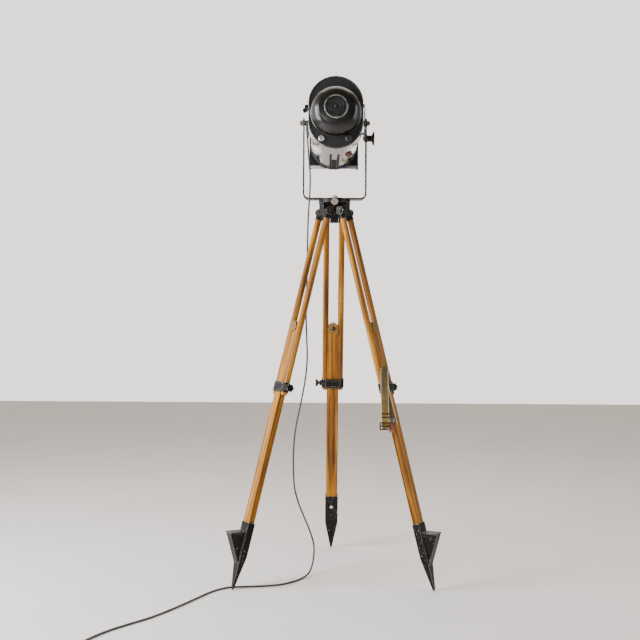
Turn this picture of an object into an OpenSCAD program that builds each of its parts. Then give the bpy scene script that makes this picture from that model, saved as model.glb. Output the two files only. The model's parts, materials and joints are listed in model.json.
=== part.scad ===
// Studio spotlight on a wooden surveyor's tripod, for use as a floor lamp.
// Millimetres. +Z is up, the origin is on the floor under the tripod head,
// and the lamp points along +Y. One module builds each separate piece.

/* [Tripod] */
// Height of the leg hinges above the floor
hinge_z = 1455; // [1300:5:1600]
// Distance of each leg hinge from the tripod's centre line
hinge_r = 48; // [46:1:56]
// Lean of each leg from the vertical
splay = 15; // [12:0.5:20]
// Diameter of the wooden rods
rod_d = 25.2; // [24:0.2:26]
// Distance between the two rods of a leg, centre to centre
rod_gap = 63.5; // [62:0.5:66]
// Distance from the hinge to the bottom of the rods
rod_end = 755; // [650:5:850]
// Distance from the hinge to the middle of the clamp
clamp_s = 725; // [600:5:800]
// Width of the sliding lower leg
leg_w = 50; // [48:0.5:50.5]
// Thickness of the sliding lower leg
leg_t = 22; // [22:0.5:24]
// Distance from the hinge to the top of the lower leg
leg_top = 460; // [400:5:560]
// Length of the steel shoe
shoe_len = 250; // [180:5:280]
// Width of the steel shoe
shoe_w = 56; // [56:1:60]
// Thickness of the steel shoe
shoe_t = 28; // [28:1:32]

/* [Yoke] */
// Diameter of the tripod head's top plate
head_d = 128; // [110:1:140]
// Height of the seat that the yoke stands on
seat_z = 1507; // [1500:1:1510]
// Height of the tilt axis above the floor
pivot_z = 1820; // [1810:1:1860]
// Distance between the yoke's arms, centre to centre
yoke_w = 252; // [248:1:270]
// Width of the yoke's flat bar
bar_w = 40; // [30:1:44]
// Thickness of the yoke's flat bar
bar_t = 6; // [5:0.5:8]

/* [Lamp] */
// Downward tilt of the lamp in its rest position
rest_tilt = 4; // [0:0.5:10]
// Depth of the beam axis below the tilt axis
axis_drop = 22; // [15:1:30]
// Half width of the lamp house
house_r = 104; // [100:1:106]
// Height that the straight sides add above and below the middle
house_rise = 37; // [30:1:42]
// Radius of the spun rear dome
dome_r = 97; // [85:1:98]
// Outer radius of the barrel
barrel_r = 98; // [94:1:100]
// Width of the colour frame's holder
frame_w = 212; // [190:1:214]
// Height of the colour frame's holder
frame_h = 202; // [190:1:206]

/* [Cord] */
// Diameter of the round flex
cord_d = 7; // [6:0.5:8]

/* [Hidden] */

// How far each leg is turned round the head from the rear leg
REAR = 0;
LEFT = 120;
RIGHT = 240;

// Colours
oak = "#c88c46";
black = "#1b1b1c";
iron = "#2c2c2e";
steel = "#b9bbbd";
alloy = "#cfd1d3";
brown = "#8a5a44";
khaki = "#8d7a3c";
flex = "#3a3b3c";

// Running clearance on a radius, and the gap left between sliding pieces
fit = 0.05;
slack = 0.4;

// Tripod sizes
rod_r = rod_d / 2;
rod_x = rod_gap / 2;
rod_start = 10;
lug_half = 16.8;
eye_in = lug_half + slack;
eye_out = rod_x + 14.6;
eye_r = 16;
socket_end = 34;
socket_r = 14;
bolt_r = 5;
clamp_h = 38;
clamp_half = 17.5;
clamp_reach = rod_x + clamp_half - 1.25;
tip_r = 4;
foot_s = (hinge_z - tip_r) / cos(splay);
shoe_top = foot_s - shoe_len;
shoe_straight = shoe_len / 2;
pocket_end = foot_s - 118;
guide_r = 21;
guide_skin = 3;
guide_len = 24;
wood_top = leg_top + 18;
screw_r = 4;
shoe_screw_s = shoe_top + 50;

// Yoke sizes
arm_x = yoke_w / 2;
arm_in = arm_x - bar_t / 2;
arm_out = arm_x + bar_t / 2;
corner_r = 26;
pivot_r = 6;
lock_drop = 62;
lock_r = 4;

// Lamp sizes along the beam, measured forward from the tilt axis
back_y = -200;
plate_t = 5;
house_front_y = -118;
gate_y = -60;
front_y = 238;
holder_y = 252;
bar_y = -20;
wall = 2.5;
shutter_t = 1.2;
shutter_slot = 5;
focus_y = 80;
focus_turn = -54;

// Tilt plate, dome, mirror, shutters and lens
plate_thick = 4;
plate_x = arm_in - slack - plate_thick;
tilt_limit = 46;
dome_rise = 58;
dome_crown = 50;
cap_r = 46;
cover_x = 55;
adjuster_x = 50;
low_z = 105;
mirror_y = -236;
mirror_depth = 78;
bulb_y = -176;
left_angle = 153;
right_angle = 37;
focus_travel = 35;
lens_r = 86;
lens_bulge = 20;
mouth_r = 88;
frame_low = -96;
gland_x = 110;
gland_y = -34;
gland_drop = 46;

// How far the shoe's step reaches outward and drops, and how wide its wedge is
step_reach = 76;
step_drop = 18;
step_w = 38;

// Strap: width, thickness, and the ends of its runs as [across, outward, down the leg]
web_w = 30;
web_t = 2.4;
back_run = [[34, 12, 878], [51, 20, 748], [51, 28, 660]];
front_run = [[55, 38, 650], [62, -7, 855], [58, -12, 881]];
front_turn = 30;
buckle_w = 42;
buckle_h = 29;

// Cord: the coil, the plug and the route of the flex
floor_gap = 0.1;
coil_x = -760;
coil_y = -900;
coil_r = 38.5;
relief_len = 30;
plug_x = coil_x + 10;
plug_w = 36;
plug_t = 24;
plug_len = 34;
pin_r = 2.4;
pin_gap = 19;
pin_len = 19;
upper_route = [
    [-110, -39, 1748], [-109, -41, 1722], [-104, -41, 1660], [-99, -39, 1600], [-99, -38, 1560]
];
floor_route = [
    [-99, -38, 1559.5], [-101, -36, 1510], [-105, -30, 1450], [-107, -18, 1400], [-108, -5, 1350],
    [-109, 5, 1300], [-110, 9, 1200], [-112, 8, 1100], [-112, 6, 1020], [-109, 4, 940],
    [-107, 4, 860], [-114, 5, 780], [-134, 6, 670], [-152, 8, 580], [-160, 10, 480],
    [-157, 14, 360], [-142, 20, 290], [-117, 26, 225], [-90, 28, 160], [-75, 24, 105],
    [-78, 6, 50], [-92, -24, 14], [-118, -70, 4], [-158, -126, 4], [-205, -164, 4],
    [-270, -184, 4], [-340, -192, 4], [-400, -206, 4], [-450, -256, 4], [-500, -346, 4],
    [-556, -450, 4], [-618, -548, 4], [-680, -620, 4], [-732, -684, 4], [-776, -764, 4],
    [-798, -840, 4], [-802, -884, 4]
];

// ---------------------------------------------------------------- places

// Puts a piece on a leg: x across the leg, y outward, z up the leg from the hinge
module on_leg(turn) {
    rotate([0, 0, turn])
        translate([0, hinge_r, hinge_z])
            rotate([splay, 0, 0])
                children();
}

// Puts a piece on the lamp: origin on the beam axis below the tilt axis, y forward
module on_lamp() {
    translate([0, 0, pivot_z])
        rotate([-rest_tilt, 0, 0])
            translate([0, 0, -axis_drop])
                children();
}

// Turns a shape made along z so that it lies along the beam, starting at y
module along_beam(y) {
    translate([0, y, 0])
        rotate([-90, 0, 0])
            children();
}

function reversed(list) = [for (i = [len(list) - 1 : -1 : 0]) list[i]];

// Outline of the lamp house seen from behind
module house_outline(r) {
    square([2 * r, 2 * house_rise], center = true);
    for (side = [-1, 1])
        translate([0, side * house_rise])
            circle(r = r, $fn = 96);
}

// ---------------------------------------------------------------- tripod head

// Side view of one hinge lug: [distance from the centre line, height]
function lug_profile() = [
    [0, hinge_z + 5], [hinge_r - 28, hinge_z - 5], [hinge_r - 12, hinge_z - 33],
    [hinge_r + 6, hinge_z - 35], [hinge_r + 14, hinge_z - 16], [hinge_r + 14, seat_z - 16],
    [0, seat_z - 16]
];

module tripod_head() {
    color(iron) difference() {
        union() {
            translate([0, 0, seat_z - 16])
                cylinder(h = 16, r = head_d / 2, $fn = 96);
            translate([0, 0, seat_z - 30])
                cylinder(h = 15, r1 = 44, r2 = head_d / 2 - 5, $fn = 96);
            translate([0, 0, hinge_z])
                cylinder(h = 30, r = 30, $fn = 64);
            translate([0, -40, seat_z - 17])
                rotate([90, 0, 0])
                    cylinder(h = 31, r = 14, $fn = 48);
            for (turn = [REAR, LEFT, RIGHT])
                rotate([0, 0, turn])
                    rotate([90, 0, 90])
                        linear_extrude(height = 2 * lug_half, center = true)
                            polygon(lug_profile());
        }
        translate([0, 0, hinge_z - 40])
            cylinder(h = 100, r = pivot_r + fit, $fn = 48);
        for (turn = [REAR, LEFT, RIGHT])
            rotate([0, 0, turn])
                translate([0, hinge_r, hinge_z])
                    rotate([0, 90, 0])
                        cylinder(h = 60, r = bolt_r + fit, center = true, $fn = 48);
    }
}

// Clamping bolt through the yoke into the head, with its washer and round head
module centre_bolt() {
    top = seat_z + bar_t;
    color(steel) {
        translate([0, 0, hinge_z + 2])
            cylinder(h = top - hinge_z, r = pivot_r, $fn = 48);
        translate([0, 0, top + 0.3])
            cylinder(h = 3, r = 19, $fn = 64);
        translate([0, 0, top + 3])
            cylinder(h = 8, r = 12, $fn = 6);
        translate([0, 0, top + 10])
            cylinder(h = 4, r1 = 9, r2 = 6, $fn = 48);
    }
}

// ---------------------------------------------------------------- yoke

module yoke_outline(inset) {
    w = 2 * (arm_out - inset);
    h = pivot_z - seat_z - inset;
    r = corner_r - inset;
    translate([-w / 2, seat_z + inset + r])
        square([w, h - r]);
    translate([-w / 2 + r, seat_z + inset])
        square([w - 2 * r, r + 1]);
    for (side = [-1, 1])
        translate([side * (w / 2 - r), seat_z + inset + r])
            circle(r = r, $fn = 64);
}

module yoke() {
    color(black) difference() {
        union() {
            rotate([90, 0, 0])
                linear_extrude(height = bar_w, center = true)
                    difference() {
                        yoke_outline(0);
                        yoke_outline(bar_t);
                        translate([-arm_in, pivot_z - 60])
                            square([2 * arm_in, 100]);
                    }
            for (side = [-1, 1])
                translate([side * arm_x, 0, pivot_z])
                    rotate([0, 90, 0])
                        cylinder(h = bar_t, r = bar_w / 2, center = true, $fn = 64);
        }
        translate([0, 0, pivot_z])
            rotate([0, 90, 0])
                cylinder(h = 2 * arm_out + 20, r = pivot_r + fit, center = true, $fn = 48);
        translate([arm_x, 0, pivot_z - lock_drop])
            rotate([0, 90, 0])
                cylinder(h = bar_t + 2, r = lock_r + fit, center = true, $fn = 48);
        translate([0, 0, seat_z - 1])
            cylinder(h = bar_t + 2, r = pivot_r + fit, $fn = 48);
    }
}

// Round hand wheel that clamps the slotted tilt plate to the right arm
module tilt_lock_knob() {
    color(black)
        translate([0, 0, pivot_z - lock_drop])
            rotate([0, 90, 0])
                difference() {
                    union() {
                        translate([0, 0, arm_in - 9])
                            cylinder(h = 40, r = lock_r, $fn = 48);
                        translate([0, 0, arm_in - 9])
                            cylinder(h = 3.5, r = 8, $fn = 48);
                        translate([0, 0, arm_out + slack])
                            cylinder(h = 5, r1 = 16, r2 = 13, $fn = 64);
                        translate([0, 0, arm_out + slack])
                            cylinder(h = 25, r = 13, $fn = 64);
                        translate([0, 0, arm_out + 20])
                            cylinder(h = 5, r1 = 13, r2 = 27, $fn = 64);
                        translate([0, 0, arm_out + 25])
                            cylinder(h = 5.5, r = 27, $fn = 64);
                    }
                    for (i = [0:9])
                        rotate([0, 0, i * 36])
                            translate([29.5, 0, arm_out + 18])
                                cylinder(h = 16, r = 5, $fn = 32);
                }
}

// Bolts through the arms into the barrel, with a spacer, a washer and a nut on each
module pivot_bolts() {
    spacer_end = [arm_in - slack, plate_x];
    color(steel)
        translate([0, 0, pivot_z])
            for (side = [0, 1])
                rotate([0, 180 * side - 90, 0]) {
                    translate([0, 0, barrel_r - 6])
                        cylinder(h = arm_out + 20 - barrel_r, r = pivot_r, $fn = 48);
                    translate([0, 0, barrel_r - 3])
                        cylinder(h = spacer_end[side] - barrel_r + 3, r = 11, $fn = 48);
                    translate([0, 0, arm_out + slack])
                        cylinder(h = 2, r = 12.5, $fn = 48);
                    translate([0, 0, arm_out + slack + 2])
                        cylinder(h = 8.5, r = 10.5, $fn = 6);
                }
}

// ---------------------------------------------------------------- lamp house

// A wedge below the tilt axis, used to cut arcs
module down_wedge(half_angle) {
    reach = 2 * lock_drop;
    polygon([
        [0, 0], [-reach * sin(half_angle), -reach * cos(half_angle)], [0, -2 * reach],
        [reach * sin(half_angle), -reach * cos(half_angle)]
    ]);
}

// Half circle that ends the slot, at an angle from straight down
function slot_end(angle, side) = [
    for (turn = [0 : 15 : 180])
        let (out = [sin(angle), -cos(angle)])
        let (along = side * [cos(angle), sin(angle)])
        lock_drop * out + (lock_r + slack) * (side * cos(turn) * out + sin(turn) * along)
];

module tilt_slot() {
    half_slot = lock_r + slack;
    polygon(concat(
        [for (a = [3 - tilt_limit : 3 : tilt_limit - 3]) (lock_drop + half_slot) * [sin(a), -cos(a)]],
        slot_end(tilt_limit, 1),
        [for (a = [tilt_limit - 3 : -3 : 3 - tilt_limit]) (lock_drop - half_slot) * [sin(a), -cos(a)]],
        slot_end(-tilt_limit, -1)
    ));
}

// Slotted plate on the right side of the lamp: the ends of its slot limit the tilt
module tilt_plate() {
    color(black)
        translate([0, 0, pivot_z])
            rotate([90, 0, 90]) {
                translate([0, 0, plate_x])
                    linear_extrude(height = plate_thick)
                        difference() {
                            union() {
                                translate([-22, -10])
                                    square([44, 48]);
                                translate([0, 38])
                                    circle(r = 22, $fn = 64);
                                circle(r = 26, $fn = 64);
                                intersection() {
                                    circle(r = lock_drop + 13, $fn = 128);
                                    down_wedge(tilt_limit + 11);
                                }
                            }
                            circle(r = pivot_r, $fn = 48);
                            tilt_slot();
                        }
                translate([0, -43, barrel_r - 6])
                    cylinder(h = plate_x - barrel_r + 6, r = 4, $fn = 32);
            }
}

// A slab with the lamp house outline, from one place along the beam to another
module house_slab(r, from_y, to_y) {
    translate([0, to_y, 0])
        rotate([90, 0, 0])
            linear_extrude(height = to_y - from_y)
                house_outline(r);
}

module lamp_house() {
    color(alloy) on_lamp() difference() {
        house_slab(house_r + 2, back_y + plate_t, house_front_y);
        house_slab(house_r - 1, back_y + plate_t - 1, house_front_y - 3);
        along_beam(house_front_y - 10)
            cylinder(h = 20, r = barrel_r, $fn = 128);
    }
}

module back_plate() {
    color(iron) on_lamp() difference() {
        union() {
            house_slab(house_r, back_y, back_y + plate_t);
            difference() {
                house_slab(house_r, back_y - 2.5, back_y);
                house_slab(house_r - 4, back_y - 3, back_y + 1);
            }
        }
        along_beam(back_y - 1)
            cylinder(h = plate_t + 2, r = dome_r - 6, $fn = 128);
        for (x = [-cover_x, adjuster_x])
            translate([x, 0, -low_z])
                along_beam(back_y - 1)
                    cylinder(h = plate_t + 2, r = 4, $fn = 32);
    }
}

// Side view of the dome's skin, from its rim to its crown: [radius, distance back]
function dome_curve(inset) = [
    for (angle = [0 : 10 : 90])
        [dome_crown + (dome_r - inset - dome_crown) * cos(angle),
         7 + (dome_rise - 7 - inset) * sin(angle)]
];

module rear_dome() {
    color(black) on_lamp()
        translate([0, back_y, 0])
            rotate([90, 0, 0])
                rotate_extrude($fn = 128)
                    polygon(concat(
                        [[dome_r - 2, 0], [dome_r + 2, 0], [dome_r + 2, 2.5], [dome_r, 4]],
                        dome_curve(0),
                        [[cap_r - 6, dome_rise], [cap_r - 6, dome_rise - 2]],
                        reversed(dome_curve(2))
                    ));
}

// Stepped round cap in the middle of the dome, with turned rings and a centre boss
module dome_cap() {
    color(black) on_lamp()
        translate([0, back_y - dome_rise, 0])
            rotate([90, 0, 0])
                rotate_extrude($fn = 128)
                    polygon([
                        [0, -2], [cap_r - 6, -2], [cap_r - 6, 0], [cap_r, 0], [cap_r, 4],
                        [cap_r - 2, 7], [cap_r - 5, 7], [cap_r - 7, 2.5], [32, 2.5], [31, 4.5],
                        [29, 4.5], [28, 2.5], [21, 2.5], [20, 4.5], [18, 4.5], [17, 2.5],
                        [7, 2.5], [6, 7], [4, 8.5], [0, 8.5]
                    ]);
}

// Bright slotted screw that holds the back plate
module cover_screw() {
    color(steel) on_lamp()
        translate([-cover_x, back_y, -low_z])
            rotate([90, 0, 0])
                difference() {
                    union() {
                        translate([0, 0, -12])
                            cylinder(h = 14, r = 4, $fn = 32);
                        cylinder(h = 6, r = 11.5, $fn = 48);
                        translate([0, 0, 6])
                            cylinder(h = 2, r1 = 11.5, r2 = 9, $fn = 48);
                    }
                    translate([-12, -1, 5.5])
                        cube([24, 2, 4]);
                }
}

// Dull round knob that sets the bulb in the reflector
module lamp_adjuster() {
    color(iron) on_lamp()
        translate([adjuster_x, back_y - slack, -low_z])
            rotate([90, 0, 0])
                difference() {
                    union() {
                        translate([0, 0, -14])
                            cylinder(h = 16, r = 4 - fit, $fn = 48);
                        cylinder(h = 9, r = 14.5, $fn = 64);
                        translate([0, 0, 9])
                            cylinder(h = 3, r1 = 14.5, r2 = 11, $fn = 64);
                    }
                    for (i = [0:11])
                        rotate([0, 0, i * 30])
                            translate([15.4, 0, 2.5])
                                cylinder(h = 12, r = 1.8, $fn = 16);
                }
}

// ---------------------------------------------------------------- light source

// Curve of the mirror: [radius, distance forward of its deepest point]
function mirror_curve(shift) = [for (r = [0 : 8 : 80]) [r, mirror_depth * pow(r / 80, 2) + shift]];

module reflector() {
    color(alloy) on_lamp() difference() {
        along_beam(mirror_y)
            rotate_extrude($fn = 96)
                polygon(concat(
                    mirror_curve(0), [[house_r - 1, mirror_depth], [house_r - 1, mirror_depth + 2]],
                    reversed(mirror_curve(2))
                ));
        translate([-20, mirror_y - 5, -110])
            cube([40, mirror_depth + 20, 84]);
    }
}

module lampholder() {
    color("#d9d4c6") on_lamp()
        translate([0, bulb_y, 0])
            difference() {
                union() {
                    translate([0, 0, -96])
                        cylinder(h = 42, r = 17, $fn = 48);
                    translate([-15, -15, -138.5])
                        cube([30, 30, 43.5]);
                }
                translate([0, 0, -84])
                    cylinder(h = 40, r = 13, $fn = 48);
            }
}

module bulb() {
    color("#f2efe2") on_lamp()
        translate([0, bulb_y, 0]) {
            sphere(r = 27, $fn = 64);
            translate([0, 0, -60])
                cylinder(h = 45, r1 = 12.6, r2 = 16, $fn = 48);
            translate([0, 0, -84])
                cylinder(h = 25, r = 12.6, $fn = 48);
        }
}

// ---------------------------------------------------------------- gate and barrel

// Turns a shape made along x so that it points away from the beam at an angle
module outward(angle) {
    rotate([0, -angle, 0])
        children();
}

// Twin plates across the barrel with a round opening, open between for the shutters
module gate() {
    color(iron) on_lamp() difference() {
        along_beam(gate_y - 4)
            cylinder(h = 8, r = barrel_r - wall, $fn = 128);
        along_beam(gate_y - 6)
            cylinder(h = 12, r = 40, $fn = 96);
        along_beam(gate_y - shutter_slot / 2)
            cylinder(h = shutter_slot, r = 89, $fn = 96);
        for (angle = [left_angle, right_angle])
            outward(angle)
                translate([80, gate_y - shutter_slot / 2, -9])
                    cube([30, shutter_slot, 18]);
    }
}

// Framing blade on a stem that comes out of the barrel to a two-lobed handle
module shutter(angle, offset_y) {
    color(black) on_lamp()
        outward(angle)
            translate([0, gate_y + offset_y - shutter_t / 2, 0]) {
                translate([44, 0, -36])
                    cube([34, shutter_t, 72]);
                translate([76, 0, -8])
                    cube([54, shutter_t, 16]);
                for (side = [-1, 1])
                    translate([132, shutter_t / 2, side * 8])
                        rotate([90, 0, 0])
                            cylinder(h = 9, r = 9, center = true, $fn = 48);
            }
}

module left_shutter() {
    shutter(left_angle, -1.4);
}

module right_shutter() {
    shutter(right_angle, 1.4);
}

module barrel() {
    color(alloy) on_lamp() difference() {
        along_beam(house_front_y)
            cylinder(h = front_y - house_front_y, r = barrel_r, $fn = 128);
        along_beam(house_front_y - 1)
            cylinder(h = front_y - house_front_y + 2, r = barrel_r - wall, $fn = 128);
        for (angle = [left_angle, right_angle])
            outward(angle)
                translate([80, gate_y - shutter_slot / 2, -9])
                    cube([30, shutter_slot, 18]);
        outward(focus_turn)
            translate([80, focus_y - focus_travel - 7, -6])
                cube([30, 2 * focus_travel + 14, 12]);
        translate([-barrel_r - 5, 0, axis_drop])
            rotate([rest_tilt, 0, 0])
                rotate([0, 90, 0])
                    cylinder(h = 2 * barrel_r + 10, r = pivot_r, $fn = 48);
    }
}

// Small round-headed brass screws on the barrel
module barrel_screws() {
    color("#a8814f") on_lamp()
        for (place = [[207, 60], [-66, 150]])
            outward(place[0])
                translate([barrel_r - 1, place[1], 0])
                    rotate([0, 90, 0]) {
                        cylinder(h = 5, r = 7, $fn = 32);
                        translate([0, 0, 5])
                            cylinder(h = 3, r1 = 7, r2 = 3, $fn = 32);
                    }
}

module lens_carriage() {
    color(iron) on_lamp() difference() {
        along_beam(focus_y - 14)
            cylinder(h = 28, r = barrel_r - wall - slack, $fn = 128);
        along_beam(focus_y - 20)
            cylinder(h = 40, r = lens_r - 4, $fn = 96);
        along_beam(focus_y - 8)
            cylinder(h = 30, r = lens_r, $fn = 96);
        outward(focus_turn)
            translate([80, focus_y, 0])
                rotate([0, 90, 0])
                    cylinder(h = 20, r = 4 + fit, $fn = 32);
    }
}

// Curve of the lens's front face: [radius, distance forward of its edge]
function lens_face() = [for (r = [0 : 8 : lens_r]) [r, 8 + lens_bulge * (1 - pow(r / lens_r, 2))]];

module lens() {
    color("#dfe9ee") on_lamp()
        along_beam(focus_y - 8)
            rotate_extrude($fn = 96)
                polygon(concat(
                    [[0, 0], [lens_r, 0], [lens_r, 8]],
                    reversed(lens_face())
                ));
}

// Brown knob whose stud runs in the barrel's slot and locks the lens carriage
module focus_knob() {
    color(brown) on_lamp()
        outward(focus_turn)
            translate([0, focus_y, 0])
                rotate([0, 90, 0]) {
                    translate([0, 0, 88])
                        cylinder(h = 14, r = 4, $fn = 32);
                    translate([0, 0, barrel_r + slack])
                        cylinder(h = 2, r = 15.5, $fn = 48);
                    translate([0, 0, barrel_r + 2])
                        cylinder(h = 13, r1 = 14, r2 = 12.5, $fn = 48);
                    translate([0, 0, barrel_r + 15])
                        cylinder(h = 2, r1 = 12.5, r2 = 9, $fn = 48);
                }
}

// Black ring on the end of the barrel, with two long bars along the underside
module front_ring() {
    color(black) on_lamp() difference() {
        union() {
            along_beam(front_y - 8)
                cylinder(h = holder_y - front_y + 8, r = barrel_r + 4, $fn = 128);
            for (side = [-1, 1])
                translate([side * 16 - 4.5, bar_y, -barrel_r - 3])
                    cube([9, front_y - bar_y, 12]);
            translate([-16, 120, -barrel_r - 2])
                cube([32, front_y - 120, 12]);
        }
        along_beam(bar_y - 20)
            cylinder(h = front_y - bar_y + 20, r = barrel_r, $fn = 128);
        along_beam(front_y - 1)
            cylinder(h = 30, r = mouth_r, $fn = 128);
    }
}

// Holder with side channels, open at the top, and a small stop under each side
module frame_holder() {
    half = frame_w / 2;
    color(black) on_lamp() difference() {
        union() {
            translate([-half, holder_y, frame_low + 13])
                cube([frame_w, 3, frame_h - 13]);
            for (side = [-1, 1]) {
                translate([side * (half - 1.25) - 1.25, holder_y, frame_low - 2])
                    cube([2.5, 12, frame_h + 2]);
                translate([side * (half - 5) - 5, holder_y + 10, frame_low - 2])
                    cube([10, 2, frame_h + 2]);
                translate([side * (half - 5) - 5, holder_y, frame_low - 2])
                    cube([10, 12, 1.6]);
            }
        }
        along_beam(holder_y - 1)
            cylinder(h = 5, r = mouth_r, $fn = 128);
    }
}

module colour_frame() {
    color(alloy) on_lamp() difference() {
        translate([3 - frame_w / 2, holder_y + 4, frame_low])
            cube([frame_w - 6, 5, frame_h + 4]);
        along_beam(holder_y)
            cylinder(h = 20, r = mouth_r - 4, $fn = 128);
    }
}

// Elbow on the left side of the barrel, ending in a tapered strain relief
module cable_gland() {
    color(black) on_lamp()
        translate([-gland_x, gland_y, -6]) {
            rotate([0, 90, 0])
                cylinder(h = gland_x - barrel_r + 4, r = 8, $fn = 32);
            sphere(r = 8, $fn = 32);
            translate([0, 0, -16])
                cylinder(h = 16, r = 8, $fn = 32);
            translate([0, 0, -24])
                cylinder(h = 8, r1 = 6, r2 = 7, $fn = 32);
            translate([0, 0, -gland_drop])
                cylinder(h = gland_drop - 24, r1 = 4.4, r2 = 6, $fn = 32);
        }
}

// ---------------------------------------------------------------- legs

module rods(turn) {
    color(oak) on_leg(turn)
        for (side = [-1, 1])
            translate([side * rod_x, 0, -rod_end]) {
                translate([0, 0, 4])
                    cylinder(h = rod_end - rod_start - 4, r = rod_r, $fn = 64);
                cylinder(h = 4, r1 = rod_r - 3, r2 = rod_r, $fn = 64);
            }
}

// Black socket on the top of each rod, with an eye for the hinge bolt
module sockets(turn) {
    color(iron) on_leg(turn) difference() {
        for (side = [-1, 1]) {
            translate([side * (eye_in + eye_out) / 2, 0, 0])
                rotate([0, 90, 0])
                    cylinder(h = eye_out - eye_in, r = eye_r, center = true, $fn = 64);
            translate([side * rod_x, 0, -socket_end])
                cylinder(h = socket_end, r = socket_r, $fn = 64);
        }
        for (side = [-1, 1])
            translate([side * rod_x, 0, -socket_end - 1])
                cylinder(h = socket_end + 1 - rod_start, r = rod_r, $fn = 64);
        rotate([0, 90, 0])
            cylinder(h = 120, r = bolt_r, center = true, $fn = 48);
    }
}

module hinge_bolt(turn) {
    color(steel) on_leg(turn)
        rotate([0, 90, 0]) {
            cylinder(h = 2 * eye_out + 8, r = bolt_r, center = true, $fn = 48);
            for (side = [-1, 1])
                translate([0, 0, side * (eye_out + 3)])
                    cylinder(h = 6, r = 9, center = true, $fn = 6);
        }
}

module clamp(turn) {
    color(iron) on_leg(turn)
        translate([0, 0, -clamp_s])
            difference() {
                union() {
                    translate([0, 0, -clamp_h / 2])
                        linear_extrude(height = clamp_h) {
                            square([rod_gap, 2 * clamp_half], center = true);
                            for (side = [-1, 1])
                                translate([side * rod_x, 0])
                                    circle(r = clamp_half - 1.25, $fn = 64);
                        }
                    for (z = [-clamp_h / 2 + 3, clamp_h / 2 - 3])
                        translate([0, 0, z - 3])
                            linear_extrude(height = 6)
                                square([rod_gap - 10, 2 * clamp_half + 3], center = true);
                    translate([-clamp_reach - 10, 0, 0])
                        rotate([0, 90, 0])
                            cylinder(h = 14, r1 = 10, r2 = 13, $fn = 48);
                }
                for (side = [-1, 1])
                    translate([side * rod_x, 0, -clamp_h])
                        cylinder(h = 2 * clamp_h, r = rod_r, $fn = 64);
                cube([leg_w + 2 * slack, leg_t + 2 * slack, 2 * clamp_h], center = true);
                translate([-clamp_reach - 20, 0, 0])
                    rotate([0, 90, 0])
                        cylinder(h = 25, r = bolt_r + fit, $fn = 48);
            }
}

// Thumb screw in the side of the clamp; it presses a rod against the lower leg
module clamp_screw(turn) {
    color(black) on_leg(turn)
        translate([-rod_x - rod_r - slack, 0, -clamp_s])
            rotate([0, -90, 0])
                difference() {
                    union() {
                        cylinder(h = 21, r = bolt_r, $fn = 48);
                        translate([0, 0, 15])
                            cylinder(h = 6, r1 = bolt_r, r2 = 15, $fn = 48);
                        translate([0, 0, 21])
                            cylinder(h = 8, r = 15, $fn = 48);
                    }
                    for (i = [0:5])
                        rotate([0, 0, i * 60])
                            translate([17.5, 0, 14])
                                cylinder(h = 20, r = 5, $fn = 24);
                }
}

// Grooves along the lower leg's sides, where it slides on the rods
module rod_grooves() {
    for (side = [-1, 1])
        translate([side * rod_x, 0, -foot_s])
            cylinder(h = foot_s, r = rod_r + slack, $fn = 64);
}

module lower_leg(turn) {
    color(oak) on_leg(turn) difference() {
        translate([-leg_w / 2, -leg_t / 2, -pocket_end])
            cube([leg_w, leg_t, pocket_end - wood_top]);
        rod_grooves();
        for (s = [leg_top + guide_r, shoe_screw_s])
            translate([0, -leg_t, -s])
                rotate([-90, 0, 0])
                    cylinder(h = 2 * leg_t, r = screw_r, $fn = 32);
    }
}

// Arched metal cap on the top of the lower leg, with a slanted lower edge
module leg_guide(turn) {
    color(iron) on_leg(turn)
        translate([0, 0, -leg_top - guide_r])
            difference() {
                union() {
                    rotate([90, 0, 0])
                        cylinder(h = leg_t + 2 * guide_skin, r = guide_r, center = true, $fn = 64);
                    translate([-guide_r, -leg_t / 2 - guide_skin, -guide_len])
                        cube([2 * guide_r, leg_t + 2 * guide_skin, guide_len]);
                }
                translate([-leg_w, -leg_t / 2, -guide_len - 1])
                    cube([2 * leg_w, leg_t, guide_len + 1 + leg_top + guide_r - wood_top]);
                translate([0, 0, leg_top + guide_r])
                    rod_grooves();
                translate([0, 0, -guide_len - 6])
                    rotate([0, 14, 0])
                        cube([2 * leg_w, 2 * leg_t, 20], center = true);
                rotate([90, 0, 0])
                    cylinder(h = 2 * leg_t, r = screw_r, center = true, $fn = 32);
            }
}

// The bolt through the guide and the screw in the shoe
module leg_screws(turn) {
    color(steel) on_leg(turn) {
        translate([0, -leg_t / 2 - guide_skin, -leg_top - guide_r])
            rotate([90, 0, 0]) {
                translate([0, 0, -leg_t - 2 * guide_skin])
                    cylinder(h = leg_t + 2 * guide_skin, r = screw_r, $fn = 32);
                cylinder(h = 3, r = 9, $fn = 48);
                translate([0, 0, 3])
                    cylinder(h = 3, r1 = 9, r2 = 5, $fn = 48);
            }
        translate([0, -shoe_t / 2, -shoe_screw_s])
            rotate([90, 0, 0]) {
                translate([0, 0, -shoe_t / 2])
                    cylinder(h = shoe_t / 2, r = screw_r, $fn = 32);
                cylinder(h = 1.5, r = 7.5, $fn = 48);
                translate([0, 0, 1.5])
                    cylinder(h = 2, r1 = 7.5, r2 = 4, $fn = 48);
            }
    }
}

// Side view of the shoe's taper, of half width w at the top
function shoe_profile(w) = [
    [w, -shoe_top], [w - 0.5, -shoe_top - shoe_straight], [tip_r, -foot_s],
    [-tip_r, -foot_s], [0.5 - w, -shoe_top - shoe_straight], [-w, -shoe_top]
];

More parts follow.
